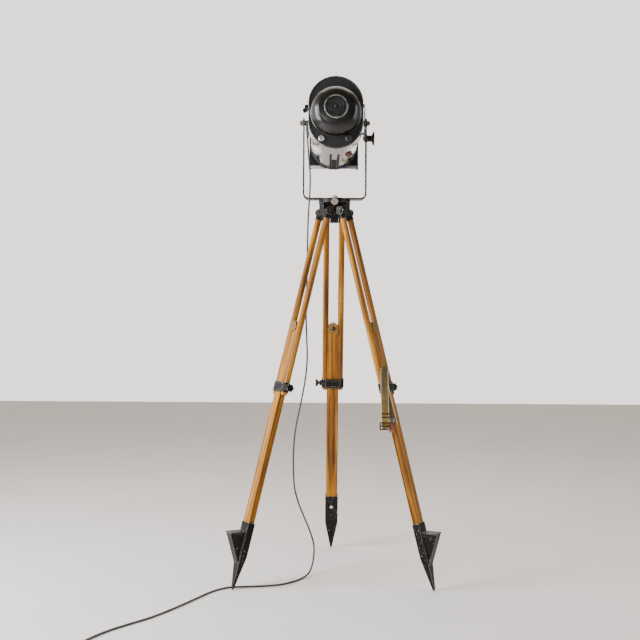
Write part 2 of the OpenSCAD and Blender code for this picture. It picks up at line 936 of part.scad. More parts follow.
// Pointed steel shoe with a step for the foot on its outer side
module shoe(turn) {
    step_s = shoe_top + 30;
    color(iron) on_leg(turn) difference() {
        union() {
            intersection() {
                rotate([90, 0, 0])
                    linear_extrude(height = 2 * shoe_w, center = true)
                        polygon(shoe_profile(shoe_w / 2));
                rotate([90, 0, 90])
                    linear_extrude(height = 2 * shoe_w, center = true)
                        polygon(shoe_profile(shoe_t / 2));
            }
            translate([0, 0, -foot_s])
                sphere(r = tip_r, $fn = 32);
            rotate([90, 0, 90])
                linear_extrude(height = step_w, center = true)
                    polygon([
                        [0, -step_s], [step_reach - 3, -step_s - step_drop],
                        [step_reach - 7, -step_s - step_drop - 12],
                        [shoe_t / 2 - 4, -shoe_top - 160], [0, -shoe_top - 160]
                    ]);
            rotate([90, 0, 90])
                linear_extrude(height = step_w + 5, center = true)
                    polygon([
                        [0, -step_s], [step_reach, -step_s - step_drop],
                        [step_reach - 1, -step_s - step_drop - 5], [0, -step_s - 5]
                    ]);
        }
        translate([-leg_w / 2, -leg_t / 2, -pocket_end])
            cube([leg_w, leg_t, shoe_len]);
        translate([0, -shoe_t, -shoe_screw_s])
            rotate([-90, 0, 0])
                cylinder(h = shoe_t, r = screw_r, $fn = 32);
    }
}

// ---------------------------------------------------------------- strap

// A short piece of webbing across the strap, used as the end of a straight run
module web_end(place, turn, width) {
    translate([place[0], place[1], -place[2]])
        rotate([0, 0, turn])
            cube([web_t, width, 1], center = true);
}

// Webbing hung over the clamp of the right leg: both ends hang down
module strap() {
    color(khaki) on_leg(RIGHT) {
        hull() {
            web_end(back_run[0], 0, web_w);
            web_end(back_run[1], 0, web_w);
        }
        hull() {
            web_end(back_run[1], 0, web_w);
            web_end(back_run[2], 0, web_w);
        }
        hull() {
            web_end(back_run[2], 0, web_w);
            web_end(front_run[0], front_turn, web_w);
        }
        for (i = [0, 1])
            hull() {
                web_end(front_run[i], front_turn, web_w);
                web_end(front_run[i + 1], front_turn, web_w);
            }
    }
}

// Rectangular buckle with a bar across it, level, in front of the strap's end
module strap_buckle() {
    place = front_run[1];
    color(steel) on_leg(RIGHT)
        translate([place[0] + 4, place[1], -place[2]])
            rotate([-splay, 0, 0])
                rotate([0, 0, front_turn])
                    translate([0, 0, -buckle_h / 2])
                        difference() {
                            cube([4, buckle_w, buckle_h], center = true);
                            for (side = [-1, 1])
                                translate([0, 0, side * (buckle_h / 4 - 1)])
                                    cube([6, buckle_w - 9, buckle_h / 2 - 6], center = true);
                        }
}

// ---------------------------------------------------------------- cord

// Point at t, from 0 to 1, on the smooth curve between b and c
function curve_point(a, b, c, d, t) =
    0.5 * (2 * b + (c - a) * t + (2 * a - 5 * b + 4 * c - d) * t * t
    + (3 * b - a - 3 * c + d) * t * t * t);

// Smooth route through the points, with a number of steps between each pair
function smooth_route(points, steps) = concat(
    [for (i = [0 : len(points) - 2], k = [0 : steps - 1])
        curve_point(points[max(i - 1, 0)], points[i], points[i + 1],
            points[min(i + 2, len(points) - 1)], k / steps)],
    [points[len(points) - 1]]
);

function unit(v) = v / norm(v);

// Direction of a route at its ring i
function heading(route, i) =
    unit(route[min(i + 1, len(route) - 1)] - route[max(i - 1, 0)]);

module cord_tube(points, steps) {
    sides = 10;
    route = smooth_route(points, steps);
    last = len(route) - 1;
    rings = [
        for (i = [0 : last])
            let (ahead = heading(route, i))
            let (side = unit(cross(ahead, [1, -1, 0])))
            let (up = cross(side, ahead))
            for (k = [0 : sides - 1])
                route[i] + cord_d / 2 * (side * cos(360 * k / sides) + up * sin(360 * k / sides))
    ];
    walls = [
        for (i = [0 : last - 1], k = [0 : sides - 1])
            [i * sides + k, i * sides + (k + 1) % sides,
             (i + 1) * sides + (k + 1) % sides, (i + 1) * sides + k]
    ];
    first_face = [for (k = [sides - 1 : -1 : 0]) k];
    last_face = [for (k = [0 : sides - 1]) last * sides + k];
    polyhedron(points = rings, faces = concat([first_face], walls, [last_face]), convexity = 10);
}

module upper_cord() {
    color(flex) cord_tube(upper_route, 2);
}

module floor_cord() {
    color(flex) cord_tube(floor_route, 2);
}

// Outer shape of the coil: two turns wide and three turns high
module cord_coil() {
    color(flex)
        translate([coil_x, coil_y, floor_gap])
            rotate_extrude($fn = 64)
                translate([coil_r - cord_d, 0])
                    square([2 * cord_d, 3 * cord_d]);
}

// Two-pin plug that lies beside the coil, pins along +X
module plug() {
    color(black)
        translate([plug_x, coil_y - coil_r - cord_d / 2, plug_t / 2 + floor_gap]) {
            rotate([0, 90, 0])
                cylinder(h = relief_len, r1 = 4.4, r2 = 7, $fn = 32);
            difference() {
                translate([relief_len, -plug_w / 2, -plug_t / 2])
                    cube([plug_len, plug_w, plug_t]);
                for (side = [-1, 1])
                    translate([relief_len - 1, side * plug_w / 2, -plug_t])
                        rotate([0, 0, side * 45])
                            cube([12, 12, 4 * plug_t], center = true);
            }
            for (side = [-1, 1])
                translate([relief_len + plug_len - 1, side * pin_gap / 2, 0])
                    rotate([0, 90, 0])
                        cylinder(h = pin_len + 1, r = pin_r, $fn = 32);
        }
}

// ---------------------------------------------------------------- the pieces of each leg

module rear_rods() { rods(REAR); }
module rear_sockets() { sockets(REAR); }
module rear_hinge_bolt() { hinge_bolt(REAR); }
module rear_clamp() { clamp(REAR); }
module rear_clamp_screw() { clamp_screw(REAR); }
module rear_lower_leg() { lower_leg(REAR); }
module rear_leg_guide() { leg_guide(REAR); }
module rear_shoe() { shoe(REAR); }
module rear_leg_screws() { leg_screws(REAR); }
module left_rods() { rods(LEFT); }
module left_sockets() { sockets(LEFT); }
module left_hinge_bolt() { hinge_bolt(LEFT); }
module left_clamp() { clamp(LEFT); }
module left_clamp_screw() { clamp_screw(LEFT); }
module left_lower_leg() { lower_leg(LEFT); }
module left_leg_guide() { leg_guide(LEFT); }
module left_shoe() { shoe(LEFT); }
module left_leg_screws() { leg_screws(LEFT); }
module right_rods() { rods(RIGHT); }
module right_sockets() { sockets(RIGHT); }
module right_hinge_bolt() { hinge_bolt(RIGHT); }
module right_clamp() { clamp(RIGHT); }
module right_clamp_screw() { clamp_screw(RIGHT); }
module right_lower_leg() { lower_leg(RIGHT); }
module right_leg_guide() { leg_guide(RIGHT); }
module right_shoe() { shoe(RIGHT); }
module right_leg_screws() { leg_screws(RIGHT); }

tripod_head();
centre_bolt();
yoke();
tilt_lock_knob();
pivot_bolts();
tilt_plate();
lamp_house();
back_plate();
rear_dome();
dome_cap();
cover_screw();
lamp_adjuster();
reflector();
lampholder();
bulb();
gate();
left_shutter();
right_shutter();
barrel();
barrel_screws();
lens_carriage();
lens();
focus_knob();
front_ring();
frame_holder();
colour_frame();
cable_gland();
rear_rods();
rear_sockets();
rear_hinge_bolt();
rear_clamp();
rear_clamp_screw();
rear_lower_leg();
rear_leg_guide();
rear_shoe();
rear_leg_screws();
left_rods();
left_sockets();
left_hinge_bolt();
left_clamp();
left_clamp_screw();
left_lower_leg();
left_leg_guide();
left_shoe();
left_leg_screws();
right_rods();
right_sockets();
right_hinge_bolt();
right_clamp();
right_clamp_screw();
right_lower_leg();
right_leg_guide();
right_shoe();
right_leg_screws();
strap();
strap_buckle();
upper_cord();
floor_cord();
cord_coil();
plug();
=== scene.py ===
"""Looks of a theatre spotlight on a wooden surveyor's tripod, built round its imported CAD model.

The lamp points along +Y and the camera looks at its back. Lengths are in metres. Each leg has
its own frame: across the leg, outward, and up the leg from its hinge.
"""
import json
import math

import bmesh
import bpy
from mathutils import Matrix, Vector


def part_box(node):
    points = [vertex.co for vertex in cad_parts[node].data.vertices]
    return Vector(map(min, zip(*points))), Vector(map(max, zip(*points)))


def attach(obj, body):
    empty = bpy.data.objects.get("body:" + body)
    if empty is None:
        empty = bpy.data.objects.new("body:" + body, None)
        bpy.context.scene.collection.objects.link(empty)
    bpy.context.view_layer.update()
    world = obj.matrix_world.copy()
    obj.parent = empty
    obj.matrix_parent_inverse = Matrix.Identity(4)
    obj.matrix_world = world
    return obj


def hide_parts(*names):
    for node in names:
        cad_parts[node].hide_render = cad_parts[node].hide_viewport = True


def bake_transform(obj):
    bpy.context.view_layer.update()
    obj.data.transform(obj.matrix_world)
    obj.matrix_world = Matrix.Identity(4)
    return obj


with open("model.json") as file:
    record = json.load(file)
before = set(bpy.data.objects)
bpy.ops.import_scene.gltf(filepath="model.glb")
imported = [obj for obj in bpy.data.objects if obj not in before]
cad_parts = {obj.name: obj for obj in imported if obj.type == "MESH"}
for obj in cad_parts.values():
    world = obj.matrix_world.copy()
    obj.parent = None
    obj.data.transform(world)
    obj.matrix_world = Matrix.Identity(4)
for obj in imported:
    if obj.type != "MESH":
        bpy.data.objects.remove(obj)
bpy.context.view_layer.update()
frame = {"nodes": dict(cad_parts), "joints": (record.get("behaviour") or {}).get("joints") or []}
NODES = frame["nodes"]
JOINTS = {joint["name"]: joint for joint in frame["joints"]}

LEG_TURNS = {"rear": 0, "left": 120, "right": 240}
SPLAY = 15                  # degrees that each leg leans outward at rest
TILT = 4                    # degrees that the beam points down at rest
PIVOT = Vector(JOINTS["tilt"]["pos_m"])
HINGE = Vector(JOINTS["rear_splay"]["pos_m"])
AXIS_DROP = 0.022           # from the pivot down to the middle of the beam
CAP_MIDDLE = (0, -0.262, 0)  # middle of the dome's cap in the lamp's frame
BOSS_PLACE = (0.0, -0.074, 1.49)  # round boss on the camera's side of the tripod head


# ---------------------------------------------------------------- places

def leg_matrix(leg):
    """Takes a point in a leg's frame to the row's frame."""
    turn = Matrix.Rotation(math.radians(LEG_TURNS[leg]), 4, "Z")
    lean = Matrix.Rotation(math.radians(SPLAY), 4, "X")
    return turn @ Matrix.Translation(HINGE) @ lean


def lamp_matrix():
    """Takes a point in the lamp's frame (origin on the beam below the pivot) to the row's frame."""
    tilt = Matrix.Rotation(math.radians(-TILT), 4, "X")
    return Matrix.Translation(PIVOT) @ tilt @ Matrix.Translation((0, 0, -AXIS_DROP))


# ---------------------------------------------------------------- camera

CAMERA_PLACE = (-0.056, -3.398, 0.945)
CAMERA_PITCH = 1.26
CAMERA_ROLL = 0.35
CAMERA_LENS = 47.3


def make_camera():
    camera = bpy.data.objects.new("camera", bpy.data.cameras.new("camera"))
    bpy.context.scene.collection.objects.link(camera)
    camera.data.lens = CAMERA_LENS
    camera.data.sensor_width = 36
    camera.location = CAMERA_PLACE
    turn = Matrix.Rotation(math.radians(90 + CAMERA_PITCH), 3, "X")
    turn = turn @ Matrix.Rotation(math.radians(CAMERA_ROLL), 3, "Z")
    camera.rotation_euler = turn.to_euler()
    bpy.context.scene.camera = camera


# ---------------------------------------------------------------- meshes

def new_object(name, verts, faces, smooth=True):
    mesh = bpy.data.meshes.new(name)
    mesh.from_pydata([tuple(v) for v in verts], [], faces)
    mesh.validate()
    for polygon in mesh.polygons:
        polygon.use_smooth = smooth
    made = bpy.data.objects.new(name, mesh)
    bpy.context.scene.collection.objects.link(made)
    return made


def bridge(rings, sides, closed_ends=True, closed_loop=False):
    """Faces between rings of equal point count, with a cap on each end."""
    faces = []
    count = len(rings)
    for i in range(count if closed_loop else count - 1):
        a, b = i * sides, (i + 1) % count * sides
        for k in range(sides):
            n = (k + 1) % sides
            faces.append((a + k, a + n, b + n, b + k))
    if closed_ends and not closed_loop:
        faces.append(tuple(range(sides - 1, -1, -1)))
        faces.append(tuple(range((count - 1) * sides, count * sides)))
    return faces


def loft(name, rings, **options):
    """A closed skin through rings of points."""
    verts = [point for ring in rings for point in ring]
    return new_object(name, verts, bridge(rings, len(rings[0])), **options)


def lathe(name, profile, place, sides=48):
    """Turns a profile of (radius, height) about place's z axis."""
    rings = []
    for radius, height in profile:
        rings.append([
            place @ Vector((radius * math.cos(a), radius * math.sin(a), height))
            for a in (2 * math.pi * k / sides for k in range(sides))
        ])
    return loft(name, rings)


def smooth_route(points, steps):
    """A smooth curve through the points, as the part's source makes its flex."""
    route = []
    last = len(points) - 1
    for i in range(last):
        a, b, c, d = (Vector(points[k]) for k in (max(i - 1, 0), i, i + 1, min(i + 2, last)))
        for step in range(steps):
            t = step / steps
            route.append(0.5 * (
                2 * b + (c - a) * t + (2 * a - 5 * b + 4 * c - d) * t * t
                + (3 * b - a - 3 * c + d) * t ** 3
            ))
    route.append(Vector(points[last]))
    return route


def tube(name, route, radius, sides=12):
    """A round tube along a route, with rings that don't twist."""
    rings = []
    side = None
    for i, centre in enumerate(route):
        ahead = (route[min(i + 1, len(route) - 1)] - route[max(i - 1, 0)]).normalized()
        if side is None:
            side = ahead.cross(Vector((1, -1, 0))).normalized()
        side = (side - ahead * side.dot(ahead)).normalized()
        up = ahead.cross(side)
        rings.append([
            centre + radius * (side * math.cos(a) + up * math.sin(a))
            for a in (2 * math.pi * k / sides for k in range(sides))
        ])
    return loft(name, rings)


# ---------------------------------------------------------------- node helpers

def add(tree, kind, inputs=None, **settings):
    """Adds a shader node; an input that is a socket is linked, any other is set."""
    made = tree.nodes.new(kind)
    for key, value in settings.items():
        setattr(made, key, value)
    for key, value in (inputs or {}).items():
        if isinstance(value, bpy.types.NodeSocket):
            tree.links.new(value, made.inputs[key])
        else:
            made.inputs[key].default_value = value
    return made


def noise(tree, vector, scale, detail=4, distortion=0.0):
    return add(tree, "ShaderNodeTexNoise", {
        "Vector": vector, "Scale": scale, "Detail": detail, "Distortion": distortion,
    }).outputs["Fac"]


def stretched(tree, vector, scale):
    return add(tree, "ShaderNodeMapping", {"Vector": vector, "Scale": scale}).outputs["Vector"]


def ramp(tree, fac, stops):
    """A colour ramp: stops are (position, colour or grey level)."""
    made = add(tree, "ShaderNodeValToRGB", {"Fac": fac})
    elements = made.color_ramp.elements
    while len(elements) < len(stops):
        elements.new(0.5)
    for element, (position, colour) in zip(elements, stops):
        element.position = position
        rgb = colour if isinstance(colour, tuple) else (colour,) * 3
        element.color = (*rgb, 1)
    return made.outputs["Color"]


def blend_colour(tree, fac, a, b, mode="MIX"):
    made = add(tree, "ShaderNodeMix", data_type="RGBA", blend_type=mode)
    for index, value in ((0, fac), (6, a), (7, b)):
        if isinstance(value, bpy.types.NodeSocket):
            tree.links.new(value, made.inputs[index])
        else:
            made.inputs[index].default_value = (*value, 1) if isinstance(value, tuple) else value
    return made.outputs[2]


def maths(tree, operation, a, b=0.0):
    return add(tree, "ShaderNodeMath", {0: a, 1: b}, operation=operation).outputs[0]


def bump(tree, height, distance, strength=1.0, normal=None):
    inputs = {"Height": height, "Distance": distance, "Strength": strength}
    if normal is not None:
        inputs["Normal"] = normal
    return add(tree, "ShaderNodeBump", inputs).outputs["Normal"]


def distance(tree, a, b):
    return add(
        tree, "ShaderNodeVectorMath", {0: a, 1: b}, operation="DISTANCE",
    ).outputs["Value"]


def rough(tree, base, fac, gain):
    """Roughness that rises from its base with a noise."""
    return maths(tree, "ADD", base, maths(tree, "MULTIPLY", fac, gain))


def soft_edges(tree, radius):
    return add(tree, "ShaderNodeBevel", {"Radius": radius}, samples=4).outputs["Normal"]


def start_material(name, **values):
    """A material, its tree, its shader and its object coordinates."""
    made = bpy.data.materials.new(name)
    made.use_nodes = True
    tree = made.node_tree
    shader = tree.nodes["Principled BSDF"]
    for key, value in values.items():
        shader.inputs[key.replace("_", " ")].default_value = value
    place = add(tree, "ShaderNodeTexCoord").outputs["Object"]
    return made, tree, shader, place


def connect(tree, shader, **sockets):
    for key, socket in sockets.items():
        tree.links.new(socket, shader.inputs[key.replace("_", " ")])


# ---------------------------------------------------------------- materials

def leg_place(tree, place, leg):
    """Object coordinates turned so that z runs up the leg."""
    turned = add(tree, "ShaderNodeVectorRotate", {
        "Vector": place, "Angle": math.radians(-LEG_TURNS[leg]),
    }, rotation_type="Z_AXIS").outputs[0]
    return add(tree, "ShaderNodeVectorRotate", {
        "Vector": turned, "Angle": math.radians(-SPLAY),
    }, rotation_type="X_AXIS").outputs[0]


def wood(leg, name, dark, middle, light):
    """Oiled hardwood with its grain along the leg, pores, handling marks and a worn satin."""
    made, tree, shader, place = start_material(
        f"{name}_{leg}", Specular_IOR_Level=0.25, Coat_Weight=0.08, Coat_Roughness=0.35,
    )
    place = leg_place(tree, place, leg)
    bands = noise(tree, stretched(tree, place, (1, 1, 0.045)), 55, 6, 0.6)
    pores = noise(tree, stretched(tree, place, (1, 1, 0.02)), 900, 3)
    stains = noise(tree, stretched(tree, place, (1, 1, 0.35)), 14, 5)
    colour = ramp(tree, bands, [(0.32, dark), (0.48, middle), (0.68, light)])
    streaks = noise(tree, stretched(tree, place, (1, 1, 0.012)), 210, 4, 0.3)
    for amount, fac, stops in (
        (0.5, pores, [(0.36, 0.4), (0.52, 1.0)]),
        (0.7, streaks, [(0.38, (0.45, 0.36, 0.28)), (0.5, 1.0)]),
        (0.7, stains, [(0.3, (0.6, 0.5, 0.42)), (0.5, 1.0)]),
    ):
        colour = blend_colour(tree, amount, colour, ramp(tree, fac, stops), "MULTIPLY")
    connect(
        tree, shader, Base_Color=colour,
        Roughness=ramp(tree, stains, [(0.3, 0.62), (0.7, 0.4)]),
        Normal=bump(tree, pores, 0.0004, 0.5, soft_edges(tree, 0.0012)),
    )
    return made


def edge_wear(tree, place, radius, amount):
    """White along the worn outer edges, broken up by noise."""
    rounded = soft_edges(tree, radius)
    sharp = add(tree, "ShaderNodeNewGeometry").outputs["Normal"]
    same = add(
        tree, "ShaderNodeVectorMath", {0: rounded, 1: sharp}, operation="DOT_PRODUCT",
    ).outputs["Value"]
    worn = maths(tree, "MULTIPLY", maths(tree, "SUBTRACT", 1.0, same), 6.0)
    scuffs = noise(tree, place, 90, 8, 0.4)
    broken = maths(tree, "MULTIPLY", worn, maths(tree, "MULTIPLY", scuffs, amount))
    return ramp(tree, broken, [(0.3, 0.0), (0.45, 1.0)])


def painted(name, paint, bare, roughness, wear, scuff_at, rubbed=None):
    """Paint over metal: worn through on the edges, chipped, dusty, with a slightly uneven film.

    The place given as rubbed is worn bare too.
    """
    made, tree, shader, place = start_material(name, IOR=1.5, Specular_IOR_Level=0.14)
    edges = edge_wear(tree, place, 0.0018, wear)
    chips = ramp(tree, noise(tree, place, 150, 6, 0.8), [(scuff_at, 0.0), (scuff_at + 0.02, 1.0)])
    worn = maths(tree, "MAXIMUM", edges, chips)
    if rubbed:
        away = distance(tree, place, rubbed)
        ragged = maths(tree, "MULTIPLY", noise(tree, place, 120, 6), 0.014)
        reach = maths(tree, "MULTIPLY", maths(tree, "ADD", away, ragged), 10)
        patch = ramp(tree, reach, [(0.2, 1.0), (0.25, 0.0)])
        worn = maths(tree, "MAXIMUM", worn, patch)
    dust = noise(tree, place, 9, 6)
    dusty = ramp(tree, dust, [(0.45, 0.0), (0.8, 0.22)])
    tinted = blend_colour(tree, dusty, paint, (0.05, 0.046, 0.042))
    dark_metal = tuple(0.55 * c for c in bare)
    metal = ramp(tree, noise(tree, place, 160, 4), [(0.35, dark_metal), (0.65, bare)])
    film = noise(tree, place, 420, 4)
    connect(
        tree, shader,
        Base_Color=blend_colour(tree, worn, tinted, metal),
        Metallic=maths(tree, "MULTIPLY", worn, 0.9),
        Roughness=rough(tree, roughness - 0.12, dust, 0.24),
        Normal=bump(tree, film, 0.0003, 0.35, soft_edges(tree, 0.0009)),
    )
    return made


def gloss_enamel():
    """Deep black stoved enamel with faint ripples, hazy spots and fine scratches."""
    made, tree, shader, place = start_material(
        "gloss_enamel", IOR=1.5, Specular_IOR_Level=0.32, Coat_Weight=0.35, Coat_Roughness=0.2,
    )
    ripple = noise(tree, place, 22, 3)
    scratches = noise(tree, stretched(tree, place, (1, 1, 14)), 150, 8, 1.5)
    scratched = ramp(tree, scratches, [(0.6, 0.0), (0.75, 1.0)])
    haze = noise(tree, place, 16, 8)
    hazy = ramp(tree, haze, [(0.35, (0.004, 0.004, 0.0045)), (0.8, (0.014, 0.012, 0.010))])
    connect(
        tree, shader, Base_Color=hazy, Roughness=rough(tree, 0.24, scratched, 0.25),
        Normal=bump(tree, ripple, 0.0006, 0.25, soft_edges(tree, 0.0008)),
    )
    return made


def cap_with_painted_rim_highlight():
    """Black ringed cap on the dome, its outer rim bright metal in patches: partly a worn edge,
    partly a painted highlight.
    """
    made, tree, shader, place = start_material("cap_with_painted_rim_highlight", IOR=1.5, Specular_IOR_Level=0.3)
    away = distance(tree, place, lamp_matrix() @ Vector(CAP_MIDDLE))
    # Bright metal round the cap's rim: partly real wear, partly a painted highlight.
    rim = ramp(tree, maths(tree, "MULTIPLY", away, 10), [(0.40, 0.0), (0.425, 1.0)])
    patches = ramp(tree, noise(tree, place, 45, 8), [(0.42, 0.1), (0.56, 0.8)])
    worn = maths(tree, "MULTIPLY", rim, patches)
    mottle = noise(tree, place, 160, 8)
    paint = ramp(tree, mottle, [(0.4, (0.007, 0.007, 0.007)), (0.7, (0.035, 0.034, 0.032))])
    connect(
        tree, shader,
        Base_Color=blend_colour(tree, worn, paint, (0.34, 0.33, 0.31)),
        Metallic=maths(tree, "MULTIPLY", worn, 0.8),
        Roughness=ramp(tree, mottle, [(0.3, 0.3), (0.7, 0.5)]),
        Normal=bump(tree, mottle, 0.0004, 0.5, soft_edges(tree, 0.0008)),
    )
    return made


def aluminium(name, colour, roughness, across=(3, 260, 3), tarnish=0.5):
    """Bare aluminium with turning marks, smears and grey tarnish."""
    made, tree, shader, place = start_material(name, Metallic=1.0)
    lines = noise(tree, stretched(tree, place, across), 6, 5)
    smears = noise(tree, place, 12, 8, 0.5)
    grey = tuple(0.45 * c for c in colour)
    patches = ramp(tree, smears, [(0.35, 0.0), (0.75, tarnish)])
    connect(
        tree, shader,
        Base_Color=blend_colour(tree, patches, colour, grey),
        Roughness=rough(tree, roughness, smears, 0.22),
        Normal=bump(tree, lines, 0.0002, 0.3, soft_edges(tree, 0.0008)),
    )
    return made


def steel(name, colour, roughness, rust=0.25):
    """Plated steel gone slightly dull, with brown specks scattered over it."""
    made, tree, shader, place = start_material(name, Metallic=1.0)
    fine = noise(tree, place, 300, 4)
    spots = ramp(tree, noise(tree, place, 120, 8), [(0.55, 0.0), (0.72, rust)])
    connect(
        tree, shader,
        Base_Color=blend_colour(tree, spots, colour, (0.12, 0.07, 0.04)),
        Roughness=rough(tree, roughness, fine, 0.25),
        Normal=bump(tree, fine, 0.0001, 0.4, soft_edges(tree, 0.0006)),
    )
    return made


def two_bolts():
    """The leg's two bolts: the guide's, higher up, is coloured near black, the shoe's below it
    bright.
    """
    made, tree, shader, place = start_material("leg_bolts", Metallic=1.0)
    height = add(tree, "ShaderNodeSeparateXYZ", {0: place}).outputs[2]
    high = ramp(tree, height, [(0.55, 0.0), (0.6, 1.0)])
    fine = noise(tree, place, 300, 4)
    connect(
        tree, shader,
        Base_Color=blend_colour(tree, high, (0.62, 0.60, 0.55), (0.05, 0.045, 0.04)),
        Roughness=rough(tree, 0.22, fine, 0.25),
        Normal=bump(tree, fine, 0.0001, 0.4, soft_edges(tree, 0.0006)),
    )
    return made


def moulded(name, colour, second, roughness, scale=60):
    """Moulded plastic, rubber or ceramic with a faint mottle and surface grain."""
    made, tree, shader, place = start_material(name, IOR=1.5)
    mottle = noise(tree, place, scale, 6, 0.6)
    grain = noise(tree, place, 700, 3)
    connect(
        tree, shader,
        Base_Color=ramp(tree, mottle, [(0.35, colour), (0.65, second)]),
        Roughness=rough(tree, roughness, mottle, 0.15),
        Normal=bump(tree, grain, 0.0001, 0.5, soft_edges(tree, 0.0006)),
    )
    return made


def clear_glass(name, roughness, tint, transmission=1.0):
    made, tree, shader, place = start_material(
        name, Transmission_Weight=transmission, IOR=1.5, Base_Color=(*tint, 1),
    )
    dust = noise(tree, place, 30, 8)
    connect(tree, shader, Roughness=rough(tree, roughness, dust, 0.06))
    return made


PAINTED = {  # name, paint, bare metal, roughness, edge wear, where chips start, place rubbed bare
    "iron": ("worn_iron", (0.007, 0.007, 0.0075), (0.50, 0.44, 0.33), 0.42, 1.9, 0.71),
    "head": (
        "worn_head", (0.007, 0.007, 0.0075), (0.50, 0.44, 0.33), 0.42, 2.2, 0.69, BOSS_PLACE,
    ),
    "shoe": ("worn_shoe", (0.0045, 0.0042, 0.004), (0.58, 0.54, 0.45), 0.42, 2.8, 0.665),
    "black": ("black_paint", (0.006, 0.006, 0.0065), (0.5, 0.49, 0.46), 0.34, 1.3, 0.74),
    "matt": ("matt_black", (0.008, 0.008, 0.0085), (0.4, 0.39, 0.37), 0.55, 1.0, 0.74),
    "plate": ("grey_plate", (0.022, 0.023, 0.023), (0.4, 0.39, 0.37), 0.36, 1.0, 0.74),
    "guide": ("guide_iron", (0.22, 0.120, 0.03), (0.36, 0.30, 0.18), 0.45, 1.5, 0.68),
    "handle": ("black_handle", (0.006, 0.006, 0.0065), (0.5, 0.48, 0.44), 0.3, 1.2, 0.73),
    "rubbed": ("rubbed_plate", (0.012, 0.012, 0.013), (0.55, 0.54, 0.52), 0.36, 3.2, 0.64),
}
MATERIALS = {}


def make_materials():
    for leg in LEG_TURNS:
        MATERIALS["wood", leg] = wood(
            leg, "oiled_oak", (0.10, 0.034, 0.001), (0.32, 0.118, 0.003), (0.66, 0.290, 0.016),
        )
    for key, settings in PAINTED.items():
        MATERIALS[key] = painted(*settings)
    MATERIALS["bolts"] = two_bolts()
    MATERIALS["cap"] = cap_with_painted_rim_highlight()
    MATERIALS["enamel"] = gloss_enamel()
    MATERIALS["barrel"] = aluminium("polished_barrel", (0.74, 0.74, 0.735), 0.07)
    MATERIALS["frame"] = aluminium("sheet_aluminium", (0.78, 0.79, 0.80), 0.28, (260, 3, 3))
    MATERIALS["mirror"] = aluminium("silvered_mirror", (0.93, 0.93, 0.92), 0.02, tarnish=0.15)
    MATERIALS["steel"] = steel("plated_steel", (0.62, 0.61, 0.58), 0.2)
    MATERIALS["dull"] = steel("dull_steel", (0.17, 0.165, 0.155), 0.42, 0.5)
    MATERIALS["knurled"] = steel("knurled_steel", (0.055, 0.055, 0.053), 0.42, 0.4)
    MATERIALS["dark"] = steel("dark_buckle", (0.055, 0.042, 0.030), 0.32, 0.6)
    MATERIALS["clip"] = steel("grey_clip", (0.20, 0.20, 0.18), 0.36, 0.4)
    MATERIALS["brass"] = steel("dull_brass", (0.55, 0.38, 0.17), 0.25, 0.3)
    MATERIALS["copper"] = steel("copper", (0.60, 0.27, 0.13), 0.25, 0.3)
    MATERIALS["bakelite"] = moulded("bakelite", (0.05, 0.022, 0.014), (0.26, 0.12, 0.075), 0.22)
    MATERIALS["porcelain"] = moulded("porcelain", (0.80, 0.78, 0.71), (0.74, 0.71, 0.63), 0.15)
    MATERIALS["rubber"] = moulded("rubber", (0.018, 0.018, 0.019), (0.028, 0.028, 0.029), 0.48)
    MATERIALS["flex"] = moulded("flex", (0.033, 0.034, 0.037), (0.055, 0.056, 0.06), 0.42, 25)
    MATERIALS["bulb"] = clear_glass("pearl_glass", 0.5, (0.95, 0.94, 0.90), 0.35)
    MATERIALS["lens"] = clear_glass("lens_glass", 0.01, (0.93, 0.98, 0.96))
    MATERIALS["webbing"] = webbing()
    MATERIALS["leather"] = leather()


def webbing():
    """Woven cotton webbing: ribs across, herringbone warp, pale selvedges and grimy patches.

    Its UV map holds millimetres: across the webbing, then along it.
    """
    made, tree, shader, place = start_material(
        "webbing", Sheen_Weight=0.25, Sheen_Roughness=0.5, IOR=1.4,
    )
    split = add(tree, "ShaderNodeSeparateXYZ", {
        0: add(tree, "ShaderNodeUVMap", uv_map="weave").outputs[0],
    })
    across, along = split.outputs[0], split.outputs[1]
    warp = maths(tree, "SINE", maths(tree, "MULTIPLY", across, 2 * math.pi / WARP_PITCH))
    slanted = maths(
        tree, "ADD", maths(tree, "MULTIPLY", along, 2 * math.pi / RIB_PITCH),
        maths(tree, "MULTIPLY", across, math.pi / WARP_PITCH),
    )
    weave = maths(tree, "MULTIPLY", warp, maths(tree, "SINE", slanted))
    from_middle = maths(tree, "DIVIDE", maths(tree, "ABSOLUTE", across), WEB_WIDTH / 2)
    selvedge = ramp(tree, from_middle, [(0.80, 0.0), (0.86, 1.0), (0.96, 1.0), (1.0, 0.7)])
    grime = noise(tree, place, 40, 8)
    khaki = ramp(tree, grime, [(0.3, (0.105, 0.068, 0.013)), (0.65, (0.22, 0.145, 0.030))])
    # Brightness along the strap: darker up the back run to the fold, darkest there, then much
    # lighter down the front run to its end.
    tone_along_strap = ramp(tree, maths(tree, "DIVIDE", along, WEB_LENGTH), [
        (0.0, (0.62, 0.56, 0.50)), (0.40, (0.50, 0.46, 0.42)), (0.48, (0.42, 0.38, 0.34)),
        (0.56, (0.66, 0.64, 0.60)), (0.80, (1.25, 1.2, 1.05)), (0.93, (2.4, 2.2, 1.7)),
    ])
    khaki = blend_colour(tree, 1.0, khaki, tone_along_strap, "MULTIPLY")
    colour = blend_colour(tree, selvedge, khaki, (0.60, 0.50, 0.32))
    raised = maths(tree, "ADD", maths(tree, "MULTIPLY", weave, 0.5), 0.5)
    shade = ramp(tree, raised, [(0.0, 0.62), (1.0, 1.0)])
    connect(
        tree, shader,
        Base_Color=blend_colour(tree, 0.85, colour, shade, "MULTIPLY"),
        Roughness=ramp(tree, grime, [(0.3, 0.7), (0.7, 0.92)]),
        Normal=bump(tree, weave, 0.0004, 0.8),
    )
    return made


